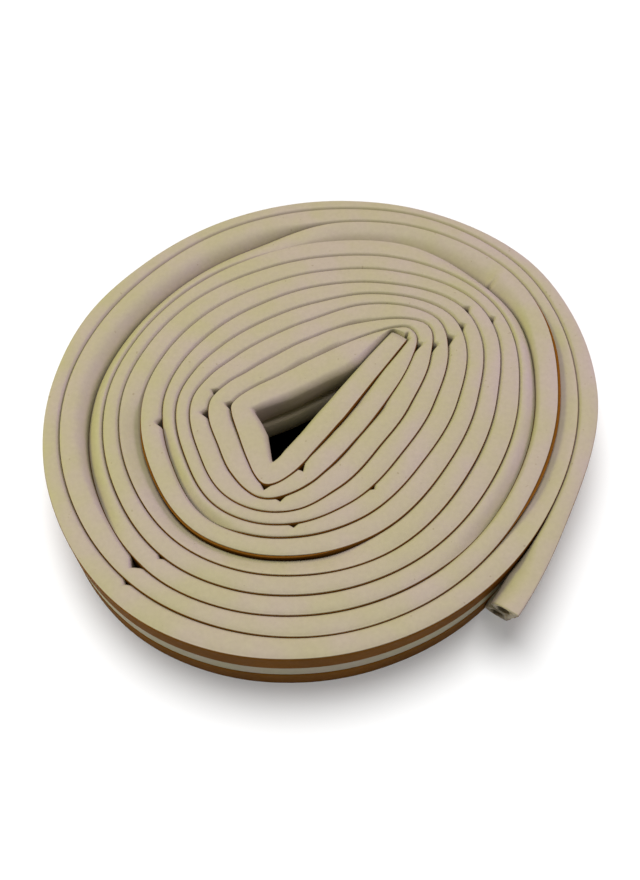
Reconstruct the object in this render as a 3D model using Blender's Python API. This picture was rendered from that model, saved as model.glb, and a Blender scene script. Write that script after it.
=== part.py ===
"""Coil of twin D-profile rubber weatherstrip with its two adhesive liners, lying flat as sold.

The strip is wound on edge: its flat adhesive back faces outwards and its two domes, one above
the other, face the middle of the coil. Metres, +Z up, the coil rests on z = 0.
"""
import bisect
import math

import bpy

# Strip section
STRIP_WIDTH = 0.0192       # both D profiles side by side, which is the height of the coil
FREE_DEPTH = 0.0075        # one D profile from back to dome where nothing presses on it
SIDE_WALL_SHARE = 0.30     # part of the depth that is straight side wall, where the dome is free
PRESSED_WALL = 0.70        # how much the wall's part grows as the dome is pressed flat
SQUAREST_DOME = 0.5        # a free dome is round, with power 1, and the flattest one has this power
DOME_STEPS = 4             # straight faces round each dome
CHANNEL_WALL = 0.0014      # rubber left round the hollow of each D profile
CHANNEL_LENGTH = 0.030     # hollow left open at the free end, past it the coil presses it shut
CHANNEL_SIDES = 8

# Liners on the adhesive, one on the back of each D profile
LINER_WIDTH = 0.0066
LINER_THICKNESS = 0.0003
LINER_EDGE = 0.0003        # from the strip's edge to the liner's edge
CONTACT_GAP = 0.0003       # between pieces that touch in the real coil

# Coil
TURN_PITCH = 0.0052        # room that one pressed turn takes
COIL_TURNS = 11.235
STATION_STEP = 12.0        # degrees between sections of the swept strip
EXTRA_STATIONS = (234.0, 357.0, 359.0)   # each turn, at the slot's corner and past the inner end
SEAM_ANGLE = 358.0         # up to here the first turn's domes face the open slot

# Stretches that lie lower than the coil's top: first and last angle along the route, drop of the
# back's top edge, drop of the domes
LOW_STRETCHES = (
    (1595, 1655, 0.0020, 0.0),
    (2270, 2380, 0.0, 0.0014),
    (2870, 2960, 0.0020, 0.0),
    (3064, 3190, 0.0030, 0.0),
    (3192, 3234, 0.0, 0.0020),
    (3590, 3680, 0.0, 0.0014),
)
LOW_FADE = 24.0            # degrees over which a stretch sinks

# Cut at the free end, which is neither square across the strip nor plumb
END_SLANT = 0.0055         # how far the cut's lower edge lies behind its upper edge
END_SKEW = 0.0016          # how far the dome side of the cut runs on past the back
END_MARGIN = 6.0           # degrees before the cut without a section, so that none crosses it

# Corners of the open slot, between the domes of the first turn, from the middle of the route
SLOT_CORNERS = ((-0.0093, 0.0025), (-0.0039, -0.0142), (0.0166, 0.0148), (0.0263, 0.0269),
                (0.0163, 0.0161))

# Route of the strip's back, laid by hand: distance from the middle, in turn pitches, in each
# direction (degrees anticlockwise from +X), after so many whole turns from the inner end.
DIRECTIONS = (39, 25, 5, 335, 300, 275, 255, 235, 205, 170, 150, 130, 105, 80, 60)
ROUTE = {
    0: (7.4, 4.5, 3.0, 2.3, 2.4, 3.2, 4.0, 3.3, 2.7, 2.9, 2.5, 2.3, 2.3, 3.0, 4.6),
    1: (8.2, 6.7, 4.6, 3.5, 3.6, 4.2, 4.7, 4.3, 3.8, 4.0, 3.6, 3.3, 3.5, 4.5, 6.3),
    2: (8.9, 7.9, 6.0, 4.7, 4.7, 5.2, 5.4, 5.3, 4.8, 4.9, 4.6, 4.4, 4.7, 5.8, 7.8),
    4: (10.3, 10.0, 8.4, 6.9, 6.6, 6.6, 6.7, 6.7, 6.2, 6.3, 6.3, 6.4, 6.9, 8.1, 9.5),
    6: (11.9, 11.8, 10.4, 9.1, 8.7, 8.5, 8.5, 8.5, 8.3, 8.4, 8.4, 8.6, 9.1, 10.2, 11.5),
    7: (12.6, 12.6, 11.5, 10.25, 9.65, 9.45, 9.45, 9.45, 9.15, 9.15, 9.15, 9.4, 10.1, 11.35, 12.6),
    8: (13.3, 13.35, 12.4, 11.25, 10.6, 10.4, 10.4, 10.4, 10.0, 9.9, 9.9, 10.2, 11.1, 12.7, 14.0),
    9: (14.8, 14.6, 13.5, 12.2, 11.6, 11.4, 11.3, 11.3, 11.2, 11.3, 11.4, 11.7, 12.6, 13.75, 14.85),
    10: (15.5, 15.3, 14.5, 13.3, 12.6, 12.4, 12.4, 12.4, 12.1, 12.1, 12.3, 12.5, 13.3, 14.4, 15.4),
    11: (16.2, 16.1, 15.5, 14.25, 15.2, 16.0, 16.0, 16.0, 16.0, 16.0, 16.0, 16.0, 16.0, 16.0, 16.0),
}

# Finishes: colour, roughness
RUBBER = ((0.52, 0.47, 0.31, 1.0), 0.62)
LINER_PAPER = ((0.17, 0.085, 0.022, 1.0), 0.45)


def clear_scene():
    for obj in list(bpy.data.objects):
        bpy.data.objects.remove(obj, do_unlink=True)


def plain_material(name, finish):
    material = bpy.data.materials.new(name)
    material.use_nodes = True
    shader = material.node_tree.nodes["Principled BSDF"]
    shader.inputs["Base Color"].default_value = finish[0]
    shader.inputs["Roughness"].default_value = finish[1]
    shader.inputs["Metallic"].default_value = 0.0
    return material


def pitches_from_middle(turn, place):
    """Distance of the route in one direction, between the two nearest turns that are laid."""
    laid = sorted(ROUTE)
    upper = min(bisect.bisect_left(laid, turn), len(laid) - 1)
    lower = max(upper - 1, 0) if laid[upper] != turn else upper
    if lower == upper:
        return ROUTE[laid[upper]][place]
    share = (turn - laid[lower]) / (laid[upper] - laid[lower])
    return ROUTE[laid[lower]][place] * (1.0 - share) + ROUTE[laid[upper]][place] * share


def clockwise_from_start(direction):
    return (DIRECTIONS[0] - direction) % 360


def route_knots():
    knots = []
    for turn in range(max(ROUTE) + 1):
        for place, direction in enumerate(DIRECTIONS):
            angle = 360.0 * turn + clockwise_from_start(direction)
            knots.append((angle, TURN_PITCH * pitches_from_middle(turn, place)))
    return knots


ROUTE_KNOTS = route_knots()
KNOT_ANGLES = [knot[0] for knot in ROUTE_KNOTS]


def back_radius(angle):
    """Smooth radius of the back. One over the radius is blended, which keeps flat runs straight."""
    last = len(ROUTE_KNOTS) - 1
    after = min(max(bisect.bisect_right(KNOT_ANGLES, angle), 1), last)
    picked = [ROUTE_KNOTS[min(max(after + step, 0), last)] for step in (-2, -1, 0, 1)]
    (a0, r0), (a1, r1), (a2, r2), (a3, r3) = picked
    span = a2 - a1
    slope_1 = (1.0 / r2 - 1.0 / r0) / (a2 - a0)
    slope_2 = (1.0 / r3 - 1.0 / r1) / (a3 - a1)
    t = (angle - a1) / span
    inverse = (
        (2 * t**3 - 3 * t**2 + 1) / r1
        + (t**3 - 2 * t**2 + t) * span * slope_1
        + (3 * t**2 - 2 * t**3) / r2
        + (t**3 - t**2) * span * slope_2
    )
    return 1.0 / inverse


def slot_radius(angle):
    """Radius where the ray at that angle leaves the open slot."""
    ray = math.radians(DIRECTIONS[0] - angle)
    across, along = -math.sin(ray), math.cos(ray)
    crossings = []
    for (x0, y0), (x1, y1) in zip(SLOT_CORNERS, SLOT_CORNERS[1:] + SLOT_CORNERS[:1]):
        side_0, side_1 = x0 * across + y0 * along, x1 * across + y1 * along
        if (side_0 > 0.0) != (side_1 > 0.0):
            share = side_0 / (side_0 - side_1)
            x, y = x0 + share * (x1 - x0), y0 + share * (y1 - y0)
            crossings.append(x * along - y * across)
    return min(crossing for crossing in crossings if crossing > 0.0)


def slant_cosine(angle):
    """Cosine of the angle between the ray from the middle and the square across the strip."""
    half_step = 1.0
    rise = back_radius(angle + half_step) - back_radius(max(angle - half_step, 0.0))
    turned = math.radians(angle + half_step - max(angle - half_step, 0.0))
    return math.cos(math.atan2(rise / turned, back_radius(angle)))


def dome_radius(angle):
    """Where the domes end inwards: at full depth, or pressed against the turn inside."""
    if angle < SEAM_ANGLE:
        limit = slot_radius(angle)
    else:
        inner_back = back_radius(max(angle - 360.0, 0.0))
        limit = inner_back + 2 * CONTACT_GAP + LINER_THICKNESS
    return max(limit, back_radius(angle) - FREE_DEPTH / slant_cosine(angle))


def end_angle():
    return 360.0 * COIL_TURNS


def station_angles(first, last):
    """Multiples of the step, so that the faces of neighbouring turns lie parallel."""
    per_turn = [STATION_STEP * i for i in range(round(360.0 / STATION_STEP))]
    per_turn.extend(EXTRA_STATIONS)
    turns = range(math.ceil(COIL_TURNS))
    inside = {360.0 * turn + angle for turn in turns for angle in per_turn}
    return [first] + sorted(angle for angle in inside if first < angle < last - END_MARGIN) + [last]


def on_ray(angle, radius):
    direction = math.radians(DIRECTIONS[0] - angle)
    return (radius * math.cos(direction), radius * math.sin(direction))


def middle_of_route():
    """Where the route's middle lies, so that the origin is under the middle of the whole coil."""
    over_liner = CONTACT_GAP + LINER_THICKNESS
    outline = [on_ray(angle, back_radius(angle) + over_liner)
               for angle in station_angles(0.0, end_angle())]
    spans = [[point[axis] for point in outline] for axis in (0, 1)]
    return tuple(-(min(span) + max(span)) / 2 for span in spans)


MIDDLE = middle_of_route()


def place_on_ray(angle, radius, height):
    x, y = on_ray(angle, radius)
    return (MIDDLE[0] + x, MIDDLE[1] + y, height)


def place_on_cut(angle, radius, height):
    """The same at the free end, moved along the strip to lie in the slanted cut."""
    back = back_radius(angle)
    run_on = END_SKEW * (back - radius) / FREE_DEPTH
    undercut = END_SLANT * (STRIP_WIDTH - height) / STRIP_WIDTH
    return place_on_ray(angle + math.degrees((run_on - undercut) / back), radius, height)


def drops_at(angle):
    """How far the back's top edge and the domes lie below the coil's top there."""
    drop_back, drop_domes = 0.0, 0.0
    for first, last, back_amount, dome_amount in LOW_STRETCHES:
        inside = min(angle - first, last - angle) / LOW_FADE + 0.5
        share = min(max(inside, 0.0), 1.0)
        drop_back += share * back_amount
        drop_domes += share * dome_amount
    return drop_back, drop_domes


def strip_section(angle):
    """Outline of the twin D: flat back, side walls, two domes and the valley between them.

    The more the coil presses a turn, the longer its side walls and the squarer its domes."""
    back = back_radius(angle)
    depth = back - dome_radius(angle)
    free_share = min(depth / FREE_DEPTH, 1.0)
    wall = (SIDE_WALL_SHARE + PRESSED_WALL * (1.0 - free_share)) * depth
    power = max(free_share, SQUAREST_DOME)
    half = STRIP_WIDTH / 2
    outline = [(0.0, 0.0), (0.0, STRIP_WIDTH)]
    for middle_height in (1.5 * half, 0.5 * half):
        for step in range(DOME_STEPS + 1):
            turn = math.pi * step / DOME_STEPS
            inwards = wall + (depth - wall) * abs(math.sin(turn)) ** power
            bulge = math.copysign(abs(math.cos(turn)) ** power, math.cos(turn))
            outline.append((inwards, middle_height + half / 2 * bulge))
    del outline[2 + DOME_STEPS + 1]
    drop_back, drop_domes = drops_at(angle)
    placed = []
    for inwards, height in outline:
        drop = drop_back + (drop_domes - drop_back) * inwards / depth
        placed.append((back - inwards, height * (1.0 - drop / STRIP_WIDTH)))
    return placed


def liner_section(low_edge):
    def section(angle):
        inner = back_radius(angle) + CONTACT_GAP
        outer = inner + LINER_THICKNESS
        kept = 1.0 - drops_at(angle)[0] / STRIP_WIDTH
        low, high = low_edge * kept, (low_edge + LINER_WIDTH) * kept
        return [(outer, low), (outer, high), (inner, high), (inner, low)]
    return section


def channel_section(middle_height):
    def section(angle):
        back = back_radius(angle)
        half_depth = (back - dome_radius(angle)) / 2 - CHANNEL_WALL
        half_height = STRIP_WIDTH / 4 - CHANNEL_WALL
        centre = back - half_depth - CHANNEL_WALL
        outline = []
        for side in range(CHANNEL_SIDES):
            turn = 2 * math.pi * (side + 0.5) / CHANNEL_SIDES
            outline.append((centre + half_depth * math.cos(turn),
                            middle_height + half_height * math.sin(turn)))
        return outline
    return section


def sweep(name, section, angles, material):
    """Closed solid from one outline at each station, capped at both ends, the last one slanted."""
    rings = [[place_on_ray(angle, *point) for point in section(angle)] for angle in angles[:-1]]
    rings.append([place_on_cut(angles[-1], *point) for point in section(angles[-1])])
    count = len(rings[0])
    points = [point for ring in rings for point in ring]
    faces = []
    for row in range(len(rings) - 1):
        for i in range(count):
            here = row * count + i
            beside = row * count + (i + 1) % count
            faces.append((here, beside, beside + count, here + count))
    faces.append(tuple(reversed(range(count))))
    faces.append(tuple(range((len(rings) - 1) * count, len(rings) * count)))
    mesh = bpy.data.meshes.new(name)
    mesh.from_pydata(points, [], faces)
    mesh.update()
    mesh.materials.append(material)
    obj = bpy.data.objects.new(name, mesh)
    bpy.context.scene.collection.objects.link(obj)
    return obj


def cut_channel(strip, name, middle_height, material):
    """Hollow of one D profile, open at the free end."""
    last = end_angle()
    past_the_cut = 3.0
    turned = math.degrees(CHANNEL_LENGTH / back_radius(last))
    angles = station_angles(last - turned, last + past_the_cut)
    cutter = sweep(name, channel_section(middle_height), angles, material)
    cutter.display_type = "WIRE"
    cutter.hide_render = True
    boolean = strip.modifiers.new(name, "BOOLEAN")
    boolean.operation = "DIFFERENCE"
    boolean.object = cutter


def build_strip():
    rubber = plain_material("cream_rubber", RUBBER)
    strip = sweep("seal_strip", strip_section, station_angles(0.0, end_angle()), rubber)
    cut_channel(strip, "upper_channel_cutter", 0.75 * STRIP_WIDTH, rubber)
    cut_channel(strip, "lower_channel_cutter", 0.25 * STRIP_WIDTH, rubber)


def build_liners():
    paper = plain_material("brown_liner", LINER_PAPER)
    angles = station_angles(0.0, end_angle())
    upper_edge = STRIP_WIDTH - LINER_EDGE - LINER_WIDTH
    sweep("upper_liner", liner_section(upper_edge), angles, paper)
    sweep("lower_liner", liner_section(LINER_EDGE), angles, paper)


def main():
    clear_scene()
    build_strip()
    build_liners()


main()
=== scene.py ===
"""Dressed model of the weatherstrip coil: smooth rubber strip, brown liners, studio and camera."""
import bisect
import math

import bmesh
import bpy
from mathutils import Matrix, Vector
from mathutils.geometry import tessellate_polygon


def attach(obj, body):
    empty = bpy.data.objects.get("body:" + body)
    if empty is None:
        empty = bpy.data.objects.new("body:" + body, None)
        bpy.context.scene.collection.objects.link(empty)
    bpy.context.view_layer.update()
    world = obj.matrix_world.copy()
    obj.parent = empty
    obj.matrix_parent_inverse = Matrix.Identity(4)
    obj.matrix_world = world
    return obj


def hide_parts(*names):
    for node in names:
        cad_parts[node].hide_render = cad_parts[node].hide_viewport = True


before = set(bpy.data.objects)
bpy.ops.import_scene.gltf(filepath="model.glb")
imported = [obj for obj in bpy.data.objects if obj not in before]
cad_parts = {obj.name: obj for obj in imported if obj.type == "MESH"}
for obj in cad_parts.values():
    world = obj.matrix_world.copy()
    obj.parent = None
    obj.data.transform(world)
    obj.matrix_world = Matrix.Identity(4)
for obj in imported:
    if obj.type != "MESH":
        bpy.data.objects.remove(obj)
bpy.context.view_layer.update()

# Route of the strip, the same values as in the part's source
STRIP_WIDTH = 0.0192       # both D profiles side by side
FREE_DEPTH = 0.0075        # from the back to the dome where nothing presses on it
LINER_WIDTH = 0.0066
LINER_THICKNESS = 0.0003
LINER_EDGE = 0.0003
CONTACT_GAP = 0.0003
TURN_PITCH = 0.0052
COIL_TURNS = 11.235
STATION_STEP = 12.0
EXTRA_STATIONS = (234.0, 357.0, 359.0)
END_SLANT = 0.0055
END_SKEW = 0.0016
END_MARGIN = 6.0
CHANNEL_WALL = 0.0014
CHANNEL_LENGTH = 0.030
DIRECTIONS = (39, 25, 5, 335, 300, 275, 255, 235, 205, 170, 150, 130, 105, 80, 60)
ROUTE = {
    0: (7.4, 4.5, 3.0, 2.3, 2.4, 3.2, 4.0, 3.3, 2.7, 2.9, 2.5, 2.3, 2.3, 3.0, 4.6),
    1: (8.2, 6.7, 4.6, 3.5, 3.6, 4.2, 4.7, 4.3, 3.8, 4.0, 3.6, 3.3, 3.5, 4.5, 6.3),
    2: (8.9, 7.9, 6.0, 4.7, 4.7, 5.2, 5.4, 5.3, 4.8, 4.9, 4.6, 4.4, 4.7, 5.8, 7.8),
    4: (10.3, 10.0, 8.4, 6.9, 6.6, 6.6, 6.7, 6.7, 6.2, 6.3, 6.3, 6.4, 6.9, 8.1, 9.5),
    6: (11.9, 11.8, 10.4, 9.1, 8.7, 8.5, 8.5, 8.5, 8.3, 8.4, 8.4, 8.6, 9.1, 10.2, 11.5),
    7: (12.6, 12.6, 11.5, 10.25, 9.65, 9.45, 9.45, 9.45, 9.15, 9.15, 9.15, 9.4, 10.1, 11.35, 12.6),
    8: (13.3, 13.35, 12.4, 11.25, 10.6, 10.4, 10.4, 10.4, 10.0, 9.9, 9.9, 10.2, 11.1, 12.7, 14.0),
    9: (14.8, 14.6, 13.5, 12.2, 11.6, 11.4, 11.3, 11.3, 11.2, 11.3, 11.4, 11.7, 12.6, 13.75, 14.85),
    10: (15.5, 15.3, 14.5, 13.3, 12.6, 12.4, 12.4, 12.4, 12.1, 12.1, 12.3, 12.5, 13.3, 14.4, 15.4),
    11: (16.2, 16.1, 15.5, 14.25, 15.2, 16.0, 16.0, 16.0, 16.0, 16.0, 16.0, 16.0, 16.0, 16.0, 16.0),
}

# First turns as they show, closer than the route's directions follow them: angle, pitches
FIRST_TURNS = (
    (-4, 11.4), (2, 7.54), (7, 5.94), (13, 4.75), (20, 3.92), (30, 3.2), (42, 2.72), (55, 2.4),
    (70, 2.25), (85, 2.25), (100, 2.42), (112, 2.74), (124, 3.2), (135, 3.72), (142, 3.98),
    (147, 3.98), (155, 3.66), (166, 3.2), (180, 2.85), (194, 2.69), (208, 2.7), (220, 2.82),
    (229, 2.9), (238, 2.75), (250, 2.5), (262, 2.33), (278, 2.24), (294, 2.32), (310, 2.63),
    (322, 3.13), (334, 4.0), (340, 4.72), (346, 5.7), (352, 6.95), (357, 7.95), (361, 8.15),
    (365, 7.9), (370, 7.15), (377, 6.2), (388, 5.03), (400, 4.26), (412, 3.8), (426, 3.5),
    (442, 3.43), (458, 3.58), (472, 3.9), (486, 4.3), (498, 4.66), (506, 4.73), (516, 4.54),
    (528, 4.24),
)

# Outline of the open slot at the domes' tips, in metres from the middle of the route
SLOT_CORNERS = ((-0.0088, 0.0014), (-0.0068, -0.0020), (-0.0052, -0.0055), (-0.0039, -0.0136),
                (-0.0020, -0.0112), (0.0030, -0.0049), (0.0072, 0.0011), (0.0121, 0.0072),
                (0.0164, 0.0136), (0.0190, 0.0168), (0.0154, 0.0142), (0.0106, 0.0112),
                (0.0028, 0.0066))
# The slot's near wall up to the inner end, which the first stretch's domes reach
NEAR_WALL = ((-0.0020, -0.0112), (0.0030, -0.0049), (0.0072, 0.0011), (0.0121, 0.0072),
             (0.0164, 0.0136), (0.0216, 0.0200), (0.0269, 0.0260), (0.0300, 0.0296))
# What the strip bends round near its inner end: the slot's far wall, then the inner end itself
CORE_LINE = ((-0.0088, 0.0014), (0.0028, 0.0066), (0.0106, 0.0112), (0.0154, 0.0140),
             (0.0190, 0.0168), (0.0216, 0.0200), (0.0276, 0.0270), (0.0318, 0.0240),
             (0.0210, 0.0088), (0.0160, 0.0018))
SLOT_UNTIL = 360.0         # up to this angle the domes face the slot
START_UNTIL = 180.0        # only before this angle they may be squarer near the inner end
START_ANGLE = 2.0          # where the inner end shows, cut square
START_BLEND = 22.0         # angle at which sections lie on rays, after the square inner end
SQUARE_FROM = 322.0        # from here to SQUARE_TO sections stand square to the strip again
SQUARE_TO = 380.0
SQUARE_FADE = 20.0

# Section of the strip
SKIN_GAP = 0.00018         # from one turn's back to the domes pressed against it
EDGE_ROUND = 0.00030       # round of the strip's back corners
CORNER_SHARE = 0.3         # share of that round at which its middle point lies
CROWN = 0.060              # rise of the side wall's middle, as a share of the depth
SHOULDER = 0.0010          # round between side wall and dome where the strip is pressed
SHOULDER_MOST = 0.45       # the most of the depth that this round takes
SHOULDER_SHAPE = 1.35      # its height for its depth
FREE_SHARE = 0.30          # part of the depth that is side wall where the dome is free
FREE_CROWN = 0.3           # part of the crown that the free dome's side wall has
SLOT_SHARE = 0.75          # how far the domes beside the slot are pressed square
SQUARE_REACH = 0.010       # from the inner end to where its domes are as round as elsewhere
PRESSED_BELOW = 0.97       # domes are pressed where the room is less than this part of FREE_DEPTH
PRESSED_SPAN = 0.25        # and fully square where it is smaller by this much more
MIN_DEPTH = 0.0006
GROOVE_SHARE = 0.42        # part of the depth where the groove between the two Ds ends
FLAT_SHARES = (0.08, 0.25, 0.5, 0.76, 1.0)
ARC_STEPS = 8
HALF_D = STRIP_WIDTH / 4
UPPER_MIDDLE = 3 * HALF_D
LOWER_MIDDLE = HALF_D
# Points of the quarter outline, from dome to side wall, that are used below the coil's top
COARSE_POINTS = (12, 10, 8, 6, 4)

# Free end
END_LEAN = 0.0034          # how far the strip's foot leans inwards at the free end
END_THINNING = 0.0012      # how much shallower the strip is at the free end
END_REACH = 0.036          # from there to where it stands upright and has its full depth
HOLLOW_SIDES = 20
HOLLOW_SHARES = (0.0, 0.05, 0.12, 0.25, 0.5, 0.75, 1.0)

# Low stretches: first angle, last angle, fade in, fade out, drop of the back, drop of the domes
LOW_STRETCHES = (
    (1595, 1655, 24, 24, 0.0020, 0.0),
    (2265, 2385, 24, 24, 0.0, 0.0024),
    (2870, 2960, 24, 24, 0.0020, 0.0),
    (3064, 3190, 24, 24, 0.0030, 0.0),
    (3180, 3240, 40, 2.5, 0.0, 0.0024),
    (3615, 3668, 24, 24, 0.0, 0.0024),
)
SAG_POWER = 2.2            # the back's drop is steepest at the back's edge
# Waves in the turns' height: degrees of wave for each degree of route, start, share
HEIGHT_WAVES = ((1.31, 20, 1.0), (2.17, 75, 1.0), (5.3, 0, 0.5))
WAVE_HEIGHT = 0.00006
WAVE_MEAN = 2.0            # mean drop, in wave heights

# Pinched spots: route angle, how far the domes fold back, half the fold's length
FOLDS = (
    (360, 0.0012, 0.0014), (727, 0.0016, 0.0016), (1090, 0.0014, 0.0016), (1450, 0.0018, 0.0020),
    (1808, 0.0012, 0.0016), (2164, 0.0013, 0.0016), (2530, 0.0011, 0.0014), (3241, 0.0010, 0.0012),
    (590, 0.0014, 0.0016), (959, 0.0012, 0.0014), (940, 0.0016, 0.0018), (2015, 0.0014, 0.0018),
    (504, 0.0012, 0.0016), (476, 0.0014, 0.0016), (853, 0.0010, 0.0014), (3410, 0.0017, 0.0026),
    (3768, 0.0007, 0.0014), (3046, 0.0006, 0.0012), (1566, 0.0008, 0.0014), (1524, 0.0007, 0.0012),
)
FOLD_WINDOW = 20.0         # degrees from a fold past which it does nothing
FOLD_POWER = 1.3
FOLD_SOFT = 1.6            # reach of the sunken top near a fold, in half lengths of the fold
FOLD_SAG = 0.25            # how far that top sinks, as a share of the fold's depth

# Stations along the strip, in degrees of the route
FINE_STEP = 2.0
LEAST_STEP = 0.15
FOLD_SHARES = (-1.3, -1.0, -0.7, -0.4, -0.2, 0.0, 0.2, 0.4, 0.7, 1.0, 1.3)
ADDED_STATIONS = (2.8, 3.2, 3236, 3237, 3239, 3241, 3243)
BEND_FROM = 346            # tight bend round the inner end, with closer stations
BEND_STEP = 0.5
BEND_STATIONS = 61
CLEAR_OF_END = 0.6         # none of the stations above comes nearer to the free end
LAST_STEP = 0.3

# Liners
PAPER = 0.00012            # liner's thickness as it shows
PAPER_EDGE = 0.0006        # strip's edge to liner's edge
PAPER_GAP = 0.00001        # from the strip's back to the liner's inner face
PAPER_ROUND = 0.00004
PAPER_FOOT = 0.0006        # from the lower edge up to where a loose liner leaves the back
LOW_WANDER = 0.00015
LOW_WAVE = 1.7             # degrees of wave for each degree of route
HIGH_WANDER = 0.00012
HIGH_WAVE = 3.1
# Liners that stand off the back: first angle, last angle, how far at their top edge
LOOSE_LINERS = ((3245, 3315, 0.0007), (1905, 2020, 0.0004))
LOOSE_FADE = 20.0
LOOSE_BEND = 0.0016        # from the top edge down to where they bend outwards
LOOSE_SHARE = 0.2          # share of the stand-off at that bend

# Colours in linear light
RUBBER_YELLOW = (0.334, 0.302, 0.186)
RUBBER_PINK = (0.346, 0.296, 0.230)
SPECK = (0.20, 0.16, 0.09)
CUT_DARK = (0.16, 0.12, 0.055)
CUT_LIGHT = (0.42, 0.35, 0.21)
PAPER_DARK = (0.130, 0.050, 0.004)
PAPER_LIGHT = (0.165, 0.064, 0.006)
WHITE = (1.0, 1.0, 1.0)

# Floor, with painted shade: black under the coil's middle, where it shows only through the slot
FLOOR_HALF = 3.0
FLOOR_PAINTED_SHADE_TO = 0.022
FLOOR_PALE_FROM = 0.045
FLOOR_PALE = 0.9

# Lights: name, place, size, power, colour
COIL_LIGHTS = (
    ("right_softbox", (0.52, 0.24, 0.34), 0.3, 2.3, (1.0, 0.74, 1.25)),
    ("left_softbox", (-0.55, 0.12, 0.34), 0.3, 2.3, (1.0, 1.02, 0.32)),
    ("top_softbox", (-0.05, 0.00, 1.30), 0.8, 14.8, (1.0, 0.985, 1.0)),
)
FLOOR_LIGHTS = (
    ("floor_softbox", (-0.09, 0.38, 1.20), 0.9, 16.4, WHITE),
    ("floor_fill", (0.0, -0.90, 0.90), 0.8, 5.6, WHITE),
)
WORLD_STRENGTH = 0.13

# Camera
CAMERA_ELEVATION = 60.0
CAMERA_DISTANCE = 0.245
AIM_FROM_MIDDLE = (0.008, -0.008)
FOCAL_PIXELS = 969.5
PHOTO_HEIGHT = 880
SENSOR = 36.0


def smooth(value):
    value = min(max(value, 0.0), 1.0)
    return value * value * (3.0 - 2.0 * value)


def pitches_from_middle(turn, place):
    laid = sorted(ROUTE)
    upper = min(bisect.bisect_left(laid, turn), len(laid) - 1)
    lower = max(upper - 1, 0) if laid[upper] != turn else upper
    if lower == upper:
        return ROUTE[laid[upper]][place]
    share = (turn - laid[lower]) / (laid[upper] - laid[lower])
    return ROUTE[laid[lower]][place] * (1.0 - share) + ROUTE[laid[upper]][place] * share


def clockwise_from_start(direction):
    return (DIRECTIONS[0] - direction) % 360


def route_knots():
    knots = [(angle, TURN_PITCH * pitches) for angle, pitches in FIRST_TURNS]
    last = knots[-1][0] + STATION_STEP
    for turn in range(max(ROUTE) + 1):
        for place, direction in enumerate(DIRECTIONS):
            angle = 360.0 * turn + clockwise_from_start(direction)
            if angle > last:
                knots.append((angle, TURN_PITCH * pitches_from_middle(turn, place)))
    return knots


ROUTE_KNOTS = route_knots()
KNOT_ANGLES = [knot[0] for knot in ROUTE_KNOTS]


def back_radius(angle):
    """Distance of the strip's back from the middle of the route."""
    last = len(ROUTE_KNOTS) - 1
    after = min(max(bisect.bisect_right(KNOT_ANGLES, angle), 1), last)
    picked = [ROUTE_KNOTS[min(max(after + step, 0), last)] for step in (-2, -1, 0, 1)]
    (a0, r0), (a1, r1), (a2, r2), (a3, r3) = picked
    span = a2 - a1
    slope_1 = (1.0 / r2 - 1.0 / r0) / (a2 - a0)
    slope_2 = (1.0 / r3 - 1.0 / r1) / (a3 - a1)
    t = (angle - a1) / span
    inverse = (
        (2 * t**3 - 3 * t**2 + 1) / r1
        + (t**3 - 2 * t**2 + t) * span * slope_1
        + (3 * t**2 - 2 * t**3) / r2
        + (t**3 - t**2) * span * slope_2
    )
    return 1.0 / inverse


def slot_radius(angle):
    """Radius where the ray at that angle leaves the open slot."""
    ray = math.radians(DIRECTIONS[0] - angle)
    across, along = -math.sin(ray), math.cos(ray)
    crossings = []
    for (x0, y0), (x1, y1) in zip(SLOT_CORNERS, SLOT_CORNERS[1:] + SLOT_CORNERS[:1]):
        side_0, side_1 = x0 * across + y0 * along, x1 * across + y1 * along
        if (side_0 > 0.0) != (side_1 > 0.0):
            share = side_0 / (side_0 - side_1)
            x, y = x0 + share * (x1 - x0), y0 + share * (y1 - y0)
            crossings.append(x * along - y * across)
    return min(crossing for crossing in crossings if crossing > 0.0)


def slant_cosine(angle):
    half_step = 1.0
    rise = back_radius(angle + half_step) - back_radius(max(angle - half_step, 0.0))
    turned = math.radians(angle + half_step - max(angle - half_step, 0.0))
    return math.cos(math.atan2(rise / turned, back_radius(angle)))


def end_angle():
    return 360.0 * COIL_TURNS


def station_angles(first, last):
    """The part's own stations, which give the middle of the coil."""
    per_turn = [STATION_STEP * i for i in range(round(360.0 / STATION_STEP))]
    per_turn.extend(EXTRA_STATIONS)
    turns = range(math.ceil(COIL_TURNS))
    inside = {360.0 * turn + angle for turn in turns for angle in per_turn}
    return [first] + sorted(angle for angle in inside if first < angle < last - END_MARGIN) + [last]


def on_ray(angle, radius):
    direction = math.radians(DIRECTIONS[0] - angle)
    return (radius * math.cos(direction), radius * math.sin(direction))


def middle_of_route():
    over_liner = CONTACT_GAP + LINER_THICKNESS
    outline = [on_ray(angle, back_radius(angle) + over_liner)
               for angle in station_angles(0.0, end_angle())]
    spans = [[point[axis] for point in outline] for axis in (0, 1)]
    return tuple(-(min(span) + max(span)) / 2 for span in spans)


MIDDLE = middle_of_route()


def place_on_ray(angle, radius, height):
    x, y = on_ray(angle, radius)
    return (MIDDLE[0] + x, MIDDLE[1] + y, height)


def end_shift(radius, height):
    """How far the slanted cut lies from the end of the route there, in degrees."""
    back = back_radius(end_angle())
    run_on = END_SKEW * (back - radius) / FREE_DEPTH
    undercut = END_SLANT * (STRIP_WIDTH - height) / STRIP_WIDTH
    return math.degrees((run_on - undercut) / back)


def back_frame(angle):
    """Point on the back and the direction square into the strip."""
    before, after = (on_ray(a, back_radius(a)) for a in (angle - 0.5, angle + 0.5))
    run = (after[0] - before[0], after[1] - before[1])
    length = math.hypot(*run)
    return on_ray(angle, back_radius(angle)), (run[1] / length, -run[0] / length)


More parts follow.
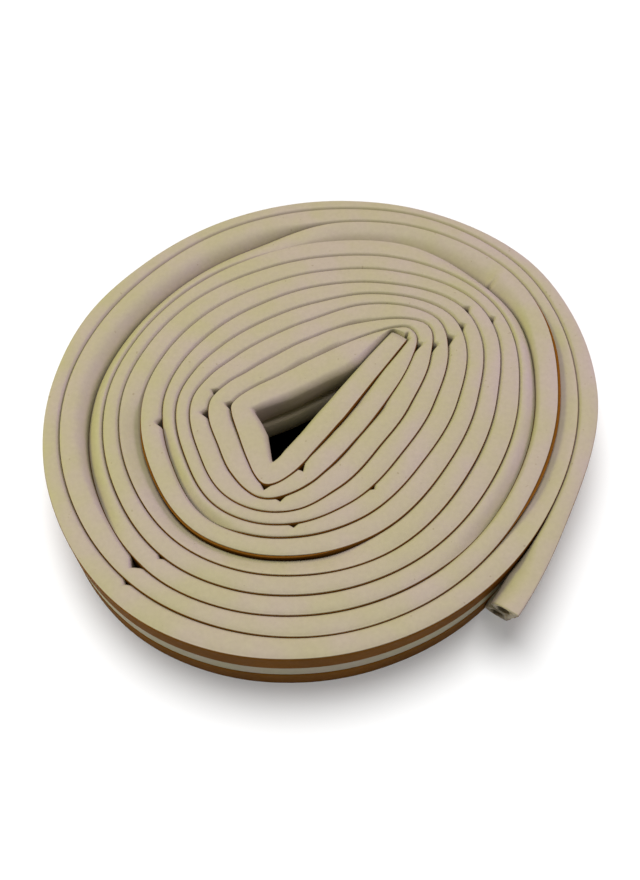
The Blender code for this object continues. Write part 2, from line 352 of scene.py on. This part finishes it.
def squareness(angle):
    """1 where sections stand square to the strip, 0 where they lie on rays from the middle."""
    if angle < START_BLEND:
        return 1 - smooth(angle / START_BLEND)
    return (smooth((angle - SQUARE_FROM) / SQUARE_FADE + 0.5)
            * smooth((SQUARE_TO - angle) / SQUARE_FADE + 0.5))


def place_at(angle, inwards, height):
    """Point so far in from the back: on the ray, square to the strip near its inner end, or moved
    towards the slanted cut within the last degrees of the route."""
    radius = back_radius(angle) - inwards / slant_cosine(angle)
    near = max(0.0, (angle - (end_angle() - END_MARGIN)) / END_MARGIN)
    if near > 0.0:
        return place_on_ray(angle + near * end_shift(radius, height), radius, height)
    x, y, _ = place_on_ray(angle, radius, height)
    square = squareness(angle)
    if square > 0.0:
        here, inward = back_frame(angle)
        from_back = [MIDDLE[i] + here[i] + inward[i] * inwards for i in (0, 1)]
        x, y = x + square * (from_back[0] - x), y + square * (from_back[1] - y)
    return (x, y, height)


def dome_radius(angle):
    """Radius that the domes may reach inwards: the slot's wall, or the turn inside."""
    if angle < 360.0 + START_ANGLE:
        return slot_radius(angle)
    return back_radius(angle - 360.0) + SKIN_GAP


def room_to_line(angle, line):
    """Distance square into the strip, from its back to the line that its domes reach."""
    (x, y), (dx, dy) = back_frame(angle)
    found = [FREE_DEPTH]
    for (x0, y0), (x1, y1) in zip(line, line[1:]):
        run_x, run_y = x1 - x0, y1 - y0
        cross = dx * run_y - dy * run_x
        if abs(cross) > 1e-9:
            away = ((x0 - x) * run_y - (y0 - y) * run_x) / cross
            share = ((x0 - x) * dy - (y0 - y) * dx) / cross
            if away > 0.0 and 0.0 <= share <= 1.0:
                found.append(away)
    return min(found)


def room_at(angle):
    """Depth that the strip can take up there."""
    on_the_ray = (back_radius(angle) - dome_radius(angle)) * slant_cosine(angle)
    square = squareness(angle)
    if square == 0.0:
        return on_the_ray
    if angle < START_BLEND:
        return on_the_ray + square * (room_to_line(angle, NEAR_WALL) - on_the_ray)
    return on_the_ray + square * (room_to_line(angle, CORE_LINE) - SKIN_GAP - on_the_ray)


def near_end(angle):
    """1 at the free end, 0 from END_REACH before it."""
    run_left = (end_angle() - angle) * math.radians(back_radius(end_angle()))
    return smooth(1 - run_left / END_REACH)


def lean_at(angle, height):
    """How far the strip leans inwards at that height."""
    return END_LEAN * near_end(angle) * (1 - height / STRIP_WIDTH)


def depth_at(angle):
    return min(room_at(angle), FREE_DEPTH) - END_THINNING * near_end(angle)


def pressed_at(angle):
    """1 where the domes are pressed square, 0 where they are free."""
    if angle >= SLOT_UNTIL:
        return smooth((PRESSED_BELOW - room_at(angle) / FREE_DEPTH) / PRESSED_SPAN)
    if angle >= START_UNTIL:
        return SLOT_SHARE
    here, start = (on_ray(a, back_radius(a)) for a in (angle, START_ANGLE))
    return SLOT_SHARE + (1.0 - SLOT_SHARE) * max(0.0, 1.0 - math.dist(here, start) / SQUARE_REACH)


def arc_rate(angle):
    """Metres along the strip for each degree."""
    return math.radians(back_radius(angle)) / slant_cosine(angle)


def fold_at(angle):
    """How far the domes fold back here, and the depth by which the top sinks near a fold."""
    fold, soft = 0.0, 0.0
    for place, depth, half in FOLDS:
        if abs(angle - place) > FOLD_WINDOW:
            continue
        away = abs(angle - place) * arc_rate(place)
        fold = max(fold, depth * max(0.0, 1.0 - away / half) ** FOLD_POWER)
        soft = max(soft, depth * math.exp(-(away / (FOLD_SOFT * half)) ** 2))
    return fold, soft


def drops_at(angle):
    """How far the back's top edge and the domes lie below the coil's top there."""
    wave = sum(share * math.sin(math.radians(angle * rate + start))
               for rate, start, share in HEIGHT_WAVES)
    drop_back = drop_domes = WAVE_HEIGHT * (WAVE_MEAN + wave)
    for first, last, fade_in, fade_out, back_amount, dome_amount in LOW_STRETCHES:
        share = smooth((angle - first) / fade_in + 0.5) * smooth((last - angle) / fade_out + 0.5)
        drop_back += share * back_amount
        drop_domes += share * dome_amount
    return drop_back, drop_domes


def crown_fall(inwards, depth):
    """How far the side wall lies below its middle there."""
    return CROWN * depth * (2 * inwards / depth - 1) ** 2


def pressed_quarter(depth):
    """Quarter outline of a D pressed square, from its side wall to its apex."""
    round_x = min(SHOULDER_MOST * depth, SHOULDER)
    round_z = SHOULDER_SHAPE * round_x
    quarter = []
    for share in FLAT_SHARES:
        inwards = share * (depth - round_x)
        quarter.append((inwards, HALF_D - crown_fall(inwards, depth)))
    for step in range(1, ARC_STEPS + 1):
        turn = math.pi / 2 * step / ARC_STEPS
        inwards = depth - round_x * (1 - math.sin(turn))
        top = HALF_D - crown_fall(inwards, depth)
        quarter.append((inwards, top - round_z * (1 - math.cos(turn))))
    return quarter + [(depth, quarter[-1][1] / 2), (depth, 0.0)]


def free_quarter(depth):
    """Quarter outline of a free D, with as many points."""
    wall = FREE_SHARE * depth
    quarter = []
    for share in FLAT_SHARES:
        quarter.append((share * wall, HALF_D - FREE_CROWN * crown_fall(share * wall, depth)))
    steps = ARC_STEPS + 2
    for step in range(1, steps + 1):
        turn = math.pi / 2 * step / steps
        quarter.append((wall + (depth - wall) * math.sin(turn), HALF_D * math.cos(turn)))
    return quarter


def quarter_outline(depth, pressed):
    """Quarter outline of one D as (inwards, above its middle)."""
    return [(a[0] * pressed + b[0] * (1 - pressed), a[1] * pressed + b[1] * (1 - pressed))
            for a, b in zip(pressed_quarter(depth), free_quarter(depth))]


def twin_outline(depth, quarter):
    """Outline of the twin D as (inwards, height), from the back's top edge round to its foot."""
    corner = CORNER_SHARE * EDGE_ROUND
    apex = len(quarter) - 1
    outline = [(0.0, STRIP_WIDTH - 3 * EDGE_ROUND), (0.0, STRIP_WIDTH - EDGE_ROUND)]
    outline.append((corner, UPPER_MIDDLE + quarter[0][1] - corner))
    outline += [(max(x, EDGE_ROUND), UPPER_MIDDLE + z) for x, z in quarter]
    outline += [(quarter[i][0], UPPER_MIDDLE - quarter[i][1]) for i in COARSE_POINTS]
    outline.append((GROOVE_SHARE * depth, UPPER_MIDDLE - HALF_D))
    outline += [(quarter[i][0], LOWER_MIDDLE + quarter[i][1])
                for i in COARSE_POINTS[::-1] + (apex,)]
    outline += [(quarter[i][0], LOWER_MIDDLE - quarter[i][1]) for i in COARSE_POINTS + (2, 0)]
    return outline + [(EDGE_ROUND, 0.0), (0.0, EDGE_ROUND), (0.0, 3 * EDGE_ROUND)]


def strip_section(angle):
    """Outline of the strip there, with its folds, low stretches and lean."""
    fold, soft = fold_at(angle)
    depth = max(depth_at(angle) - fold, MIN_DEPTH)
    drop_back, drop_domes = drops_at(angle)
    drop_domes += FOLD_SAG * soft
    placed = []
    for inwards, height in twin_outline(depth, quarter_outline(depth, pressed_at(angle))):
        share = min(inwards / depth, 1.0)
        lowered = drop_back * (1 - share) ** SAG_POWER + drop_domes * share
        placed.append((inwards + lean_at(angle, height), height * (1 - lowered / STRIP_WIDTH)))
    return placed


def hollow_outline(angle, middle_height):
    """Squashed hollow of one D as (inwards, height)."""
    half_depth = depth_at(angle) / 2 - CHANNEL_WALL
    half_height = HALF_D - CHANNEL_WALL
    outline = []
    for side in range(HOLLOW_SIDES):
        turn = 2 * math.pi * side / HOLLOW_SIDES
        height = middle_height + half_height * math.sin(turn)
        inwards = CHANNEL_WALL + half_depth * (1 - math.cos(turn))
        outline.append((inwards + lean_at(angle, height), height))
    return outline


def fine_stations():
    last = end_angle()
    stations = {FINE_STEP * i for i in range(int(last / FINE_STEP) + 1)}
    for place, _, half in FOLDS:
        stations.update(place + share * half / arc_rate(place) for share in FOLD_SHARES)
    stations.update(ADDED_STATIONS)
    stations.update(BEND_FROM + BEND_STEP * i for i in range(BEND_STATIONS))
    ordered = [START_ANGLE]
    for angle in sorted(stations):
        if angle - ordered[-1] > LEAST_STEP and angle < last - CLEAR_OF_END:
            ordered.append(angle)
    return ordered + [last - LAST_STEP, last]


def face_outwards(mesh):
    work = bmesh.new()
    work.from_mesh(mesh)
    bmesh.ops.recalc_face_normals(work, faces=work.faces)
    work.to_mesh(mesh)
    work.free()


def add_mesh(name, points, faces, materials, picks=None):
    mesh = bpy.data.meshes.new(name)
    mesh.from_pydata(points, [], faces)
    for material in materials:
        mesh.materials.append(material)
    mesh.polygons.foreach_set("use_smooth", [True] * len(faces))
    if picks:
        mesh.polygons.foreach_set("material_index", picks)
    mesh.update()
    obj = bpy.data.objects.new(name, mesh)
    bpy.context.scene.collection.objects.link(obj)
    face_outwards(mesh)
    return obj


def rings_along(stations, section):
    return [[place_at(angle, *point) for point in section(angle)] for angle in stations]


def skin(rings, first):
    """Faces between closed rings of equal length, whose points start at that index."""
    faces = []
    count = len(rings[0])
    for row in range(len(rings) - 1):
        for i in range(count):
            here = first + row * count + i
            beside = first + row * count + (i + 1) % count
            faces.append((here, beside, beside + count, here + count))
    return faces


def hollow_tube(middle_height, first):
    """Points and faces of one D's hollow, which is open at the free end."""
    last = end_angle()
    reach = math.degrees(CHANNEL_LENGTH / back_radius(last))
    rings = rings_along([last - share * reach for share in HOLLOW_SHARES],
                        lambda angle: hollow_outline(angle, middle_height))
    points = [point for ring in rings for point in ring]
    faces = skin(rings, first)
    faces.append(tuple(range(first + len(points) - HOLLOW_SIDES, first + len(points))))
    return points, faces


def build_strip(materials):
    """The strip as one closed skin: its sections, the inner end, two hollows and the cut face."""
    rings = rings_along(fine_stations(), strip_section)
    points = [point for ring in rings for point in ring]
    count = len(rings[0])
    faces = skin(rings, 0)
    faces.append(tuple(reversed(range(count))))
    skin_faces = len(faces)
    rim = list(range(len(points) - count, len(points)))
    outlines = [strip_section(end_angle())]
    for middle_height in (UPPER_MIDDLE, LOWER_MIDDLE):
        first = len(points)
        tube_points, tube_faces = hollow_tube(middle_height, first)
        points += tube_points
        faces += tube_faces
        rim += range(first, first + HOLLOW_SIDES)
        outlines.append(hollow_outline(end_angle(), middle_height))
    flat = [[Vector((*point, 0.0)) for point in outline] for outline in outlines]
    faces += [tuple(rim[i] for i in triangle) for triangle in tessellate_polygon(flat)]
    picks = [0] * skin_faces + [1] * (len(faces) - skin_faces)
    return add_mesh("rubber_strip", points, faces, materials, picks)


def loose_at(angle):
    """How far the liner's top edge stands off the back."""
    return sum(amount * smooth((angle - first) / LOOSE_FADE) * smooth((last - angle) / LOOSE_FADE)
               for first, last, amount in LOOSE_LINERS)


def liner_section(angle, low_edge, phase):
    """Outline of one liner as (inwards, height). Its edges wander a little along the strip."""
    keep = 1 - drops_at(angle)[0] / STRIP_WIDTH
    low_wander = LOW_WANDER * math.sin(math.radians(LOW_WAVE * angle + phase))
    high_wander = HIGH_WANDER * math.sin(math.radians(HIGH_WAVE * angle + phase))
    low = (low_edge + low_wander) * keep
    high = (low_edge + LINER_WIDTH + high_wander) * keep
    loose = loose_at(angle)
    outline = [
        (-PAPER_GAP, low),
        (PAPER_ROUND - PAPER, low),
        (-PAPER, low + PAPER_ROUND),
        (-PAPER, low + PAPER_FOOT),
        (-PAPER - LOOSE_SHARE * loose, high - LOOSE_BEND * keep),
        (-PAPER - loose, high - PAPER_ROUND),
        (PAPER_ROUND - PAPER - loose, high),
        (-PAPER_GAP, high),
    ]
    return [(inwards + lean_at(angle, height), height) for inwards, height in outline]


def build_liner(name, low_edge, phase, material):
    rings = rings_along(fine_stations(), lambda angle: liner_section(angle, low_edge, phase))
    points = [point for ring in rings for point in ring]
    count = len(rings[0])
    faces = skin(rings, 0)
    faces.append(tuple(range(count)))
    faces.append(tuple(range(len(points) - count, len(points))))
    return add_mesh(name, points, faces, [material])


class Nodes:
    """Short way to build a node tree."""

    def __init__(self, name):
        self.material = bpy.data.materials.new(name)
        self.material.use_nodes = True
        self.tree = self.material.node_tree
        self.shader = self.tree.nodes["Principled BSDF"]
        self.place = self.add("ShaderNodeTexCoord").outputs["Object"]

    def add(self, kind, **values):
        node = self.tree.nodes.new(kind)
        for key, value in values.items():
            setattr(node, key, value)
        return node

    def link(self, source, target):
        self.tree.links.new(source, target)

    def feed(self, socket, source):
        self.link(source, self.shader.inputs[socket])

    def fix(self, socket, value):
        self.shader.inputs[socket].default_value = value

    def noise(self, scale, detail=3.0, roughness=0.5):
        node = self.add("ShaderNodeTexNoise")
        node.inputs["Scale"].default_value = scale
        node.inputs["Detail"].default_value = detail
        node.inputs["Roughness"].default_value = roughness
        self.link(self.place, node.inputs["Vector"])
        return node.outputs["Fac"]

    def ramp(self, source, *stops):
        """Colour between two stops, each a position and a colour."""
        node = self.add("ShaderNodeValToRGB")
        for element, (position, colour) in zip(node.color_ramp.elements, stops):
            element.position = position
            element.color = (*colour, 1.0)
        self.link(source, node.inputs["Fac"])
        return node.outputs["Color"]

    def grey_ramp(self, source, *stops):
        return self.ramp(source, *((position, (grey,) * 3) for position, grey in stops))

    def multiply(self, first, second):
        node = self.add("ShaderNodeMix", data_type="RGBA", blend_type="MULTIPLY")
        node.inputs[0].default_value = 1.0
        self.link(first, node.inputs[6])
        self.link(second, node.inputs[7])
        return node.outputs[2]

    def blend_to(self, factor, source, colour):
        node = self.add("ShaderNodeMix", data_type="RGBA", blend_type="MIX")
        self.link(factor, node.inputs[0])
        self.link(source, node.inputs[6])
        node.inputs[7].default_value = (*colour, 1.0)
        return node.outputs[2]

    def spread(self, source, low, high, to_low, to_high):
        node = self.add("ShaderNodeMapRange")
        for socket, value in zip(node.inputs[1:5], (low, high, to_low, to_high)):
            socket.default_value = value
        self.link(source, node.inputs["Value"])
        return node.outputs["Result"]

    def bump(self, height, strength, distance, below=None):
        node = self.add("ShaderNodeBump")
        node.inputs["Strength"].default_value = strength
        node.inputs["Distance"].default_value = distance
        self.link(height, node.inputs["Height"])
        if below:
            self.link(below, node.inputs["Normal"])
        return node.outputs["Normal"]


def rubber_material():
    """Cream skin with a slightly uneven hue, fine grain and a few dark specks."""
    n = Nodes("cream_rubber_skin")
    hue = n.ramp(n.noise(scale=75.0), (0.36, RUBBER_YELLOW), (0.64, RUBBER_PINK))
    grain_noise = n.noise(scale=900.0, detail=4.0, roughness=0.6)
    grain = n.grey_ramp(grain_noise, (0.3, 0.95), (0.7, 1.03))
    specks = n.spread(n.noise(scale=760.0, detail=1.0), 0.765, 0.80, 0.0, 0.5)
    n.feed("Base Color", n.blend_to(specks, n.multiply(hue, grain), SPECK))
    n.feed("Roughness", n.spread(n.noise(scale=300.0), 0.3, 0.7, 0.52, 0.66))
    n.fix("Specular IOR Level", 0.25)
    uneven = n.bump(n.noise(scale=160.0, detail=2.0), strength=0.25, distance=0.0004)
    fine_noise = n.noise(scale=2600.0, detail=3.0, roughness=0.6)
    n.feed("Normal", n.bump(fine_noise, strength=0.18, distance=0.00008, below=uneven))
    return n.material


def cut_material():
    """Open cells of the cut rubber, at the free end and in the hollows."""
    n = Nodes("cream_rubber_cut")
    cells = n.noise(scale=700.0, detail=4.0, roughness=0.65)
    n.feed("Base Color", n.ramp(cells, (0.3, CUT_DARK), (0.62, CUT_LIGHT)))
    n.fix("Roughness", 0.5)
    pits = n.noise(scale=1800.0, detail=4.0, roughness=0.7)
    n.feed("Normal", n.bump(pits, strength=0.6, distance=0.0003))
    return n.material


def liner_material():
    """Brown release paper with fine fibres."""
    n = Nodes("brown_liner_paper")
    tone = n.ramp(n.noise(scale=60.0), (0.3, PAPER_DARK), (0.7, PAPER_LIGHT))
    fibre_noise = n.noise(scale=1400.0, detail=4.0, roughness=0.6)
    fibres = n.grey_ramp(fibre_noise, (0.3, 0.88), (0.7, 1.06))
    n.feed("Base Color", n.multiply(tone, fibres))
    n.feed("Roughness", n.spread(n.noise(scale=500.0), 0.3, 0.7, 0.60, 0.72))
    n.fix("Specular IOR Level", 0.03)
    n.feed("Normal", n.bump(n.noise(scale=1500.0), strength=0.15, distance=0.0001))
    return n.material


def floor_material_with_painted_shade():
    n = Nodes("floor_white_with_painted_shade")
    # Painted shade: the floor is black near the coil's middle, where it shows only through the
    # slot, and grows pale further out
    away = n.add("ShaderNodeVectorMath", operation="LENGTH")
    n.link(n.place, away.inputs[0])
    pale = n.spread(away.outputs["Value"], FLOOR_PAINTED_SHADE_TO, FLOOR_PALE_FROM, 0.0, FLOOR_PALE)
    n.feed("Base Color", pale)
    n.fix("Roughness", 0.9)
    n.fix("Specular IOR Level", 0.0)
    return n.material


def add_floor():
    mesh = bpy.data.meshes.new("floor")
    signs = ((-1, -1), (1, -1), (1, 1), (-1, 1))
    corners = [(x * FLOOR_HALF, y * FLOOR_HALF, 0) for x, y in signs]
    mesh.from_pydata(corners, [], [(0, 1, 2, 3)])
    floor = bpy.data.objects.new("floor", mesh)
    bpy.context.scene.collection.objects.link(floor)
    mesh.materials.append(floor_material_with_painted_shade())
    return floor


def add_light(name, place, size, power, colour, lit_objects):
    """Round softbox aimed at the middle of the coil's foot, which lights only those objects."""
    light = bpy.data.lights.new(name, "AREA")
    light.shape = "DISK"
    light.size = size
    light.energy = power
    light.color = colour
    obj = bpy.data.objects.new(name, light)
    bpy.context.scene.collection.objects.link(obj)
    obj.location = place
    obj.rotation_mode = "QUATERNION"
    obj.rotation_quaternion = (-Vector(place)).to_track_quat("-Z", "Y")
    lit = bpy.data.collections.new(name + "_lights")
    for lit_object in lit_objects:
        lit.objects.link(lit_object)
    obj.light_linking.receiver_collection = lit


def add_studio(pieces):
    floor = add_floor()
    for light in COIL_LIGHTS:
        add_light(*light, pieces)
    for light in FLOOR_LIGHTS:
        add_light(*light, [floor])
    world = bpy.data.worlds.new("studio")
    bpy.context.scene.world = world
    world.use_nodes = True
    background = world.node_tree.nodes["Background"]
    background.inputs["Color"].default_value = (*WHITE, 1.0)
    background.inputs["Strength"].default_value = WORLD_STRENGTH
    bpy.context.scene.view_settings.view_transform = "Standard"


def add_camera():
    elevation = math.radians(CAMERA_ELEVATION)
    aim = Vector((MIDDLE[0] + AIM_FROM_MIDDLE[0], MIDDLE[1] + AIM_FROM_MIDDLE[1], STRIP_WIDTH))
    back = Vector((0.0, -math.cos(elevation), math.sin(elevation)))
    data = bpy.data.cameras.new("camera")
    data.sensor_fit = "AUTO"
    data.sensor_width = SENSOR
    data.lens = FOCAL_PIXELS * SENSOR / PHOTO_HEIGHT
    data.clip_start, data.clip_end = 0.01, 20.0
    camera = bpy.data.objects.new("camera", data)
    bpy.context.scene.collection.objects.link(camera)
    camera.location = aim + CAMERA_DISTANCE * back
    camera.rotation_mode = "QUATERNION"
    camera.rotation_quaternion = (-back).to_track_quat("-Z", "Y")
    bpy.context.scene.camera = camera


def main():
    add_camera()
    strip = build_strip([rubber_material(), cut_material()])
    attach(strip, "root")
    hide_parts("seal_strip")
    paper = liner_material()
    pieces = [strip]
    upper_edge = STRIP_WIDTH - PAPER_EDGE - LINER_WIDTH
    for name, node, low, phase in (("upper_liner_band", "upper_liner", upper_edge, 0.0),
                                   ("lower_liner_band", "lower_liner", LINER_EDGE, 130.0)):
        liner = build_liner(name, low, phase, paper)
        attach(liner, "root")
        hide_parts(node)
        pieces.append(liner)
    add_studio(pieces)


main()
